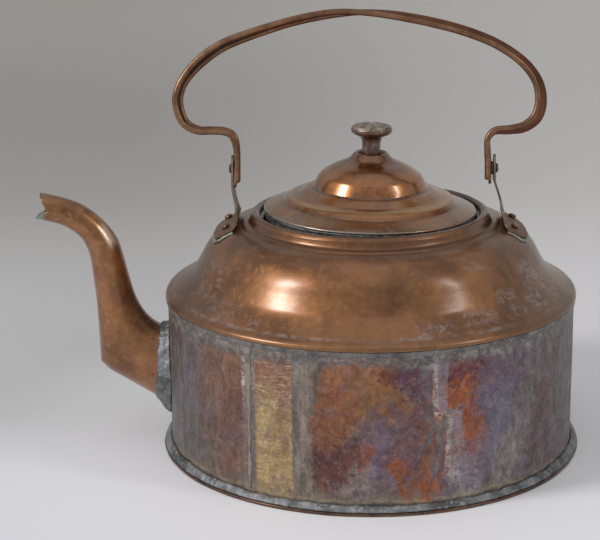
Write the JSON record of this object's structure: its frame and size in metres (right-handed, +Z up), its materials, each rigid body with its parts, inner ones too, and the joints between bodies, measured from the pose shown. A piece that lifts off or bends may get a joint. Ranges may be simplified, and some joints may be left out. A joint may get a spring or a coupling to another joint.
{
  "type": "kettle",
  "caption": "Wide copper kettle with a domed lift-off lid, a gooseneck spout and a hinged bail handle riveted to two lugs.",
  "frame": {"origin": "centre of the underside of the base plate", "axes": "+Z up, the spout points along -X, the handle hinges about a line along X"},
  "size_m": [0.3826, 0.296, 0.3057],
  "materials": {
    "wall_copper": "heavily patinated copper, mottled brown, purple and grey",
    "shoulder_copper": "warm brown copper with a soft worn polish",
    "spout_copper": "brown copper with a worn polish",
    "lid_copper": "golden brown copper with a soft polish",
    "handle_copper": "hand-worn copper, tinned grey inside",
    "knob_copper": "dull dark copper, worn pale on top",
    "rivet_copper": "dark copper",
    "tinned_copper": "dull tinned copper",
    "solder": "dull lumpy tin solder"
  },
  "bodies": {
    "kettle_body": {"base_plate": "wall_copper", "side_wall": "wall_copper", "base_seam_solder": "solder", "wall_seam_solder": "solder", "shoulder": "shoulder_copper", "shoulder_seam_solder": "solder", "spout": "spout_copper", "spout_solder": "solder", "left_lug": "tinned_copper", "left_lug_solder": "solder", "right_lug": "tinned_copper", "right_lug_solder": "solder", "left_lug_rivet_front": "rivet_copper", "left_lug_rivet_back": "rivet_copper", "right_lug_rivet_front": "rivet_copper", "right_lug_rivet_back": "rivet_copper", "left_pivot_rivet": "rivet_copper", "right_pivot_rivet": "rivet_copper", "right_pivot_washer": "tinned_copper"},
    "handle": {"handle_strap": "handle_copper"},
    "lid": {"lid_cover": "lid_copper", "lid_skirt": "tinned_copper", "lid_seam_solder": "solder", "lid_knob": "knob_copper", "knob_washer": "rivet_copper"}
  },
  "joints": [
    {"name": "handle_swing", "type": "hinge", "parent": "kettle_body", "child": "handle", "pos_m": [0, 0, 0.1973], "axis": [1, 0, 0], "range_deg": [-92, 118]},
    {"name": "lid_lift", "type": "slide", "parent": "kettle_body", "child": "lid", "axis": [0, 0, 1], "range_m": [0, 0.06]}
  ]
}
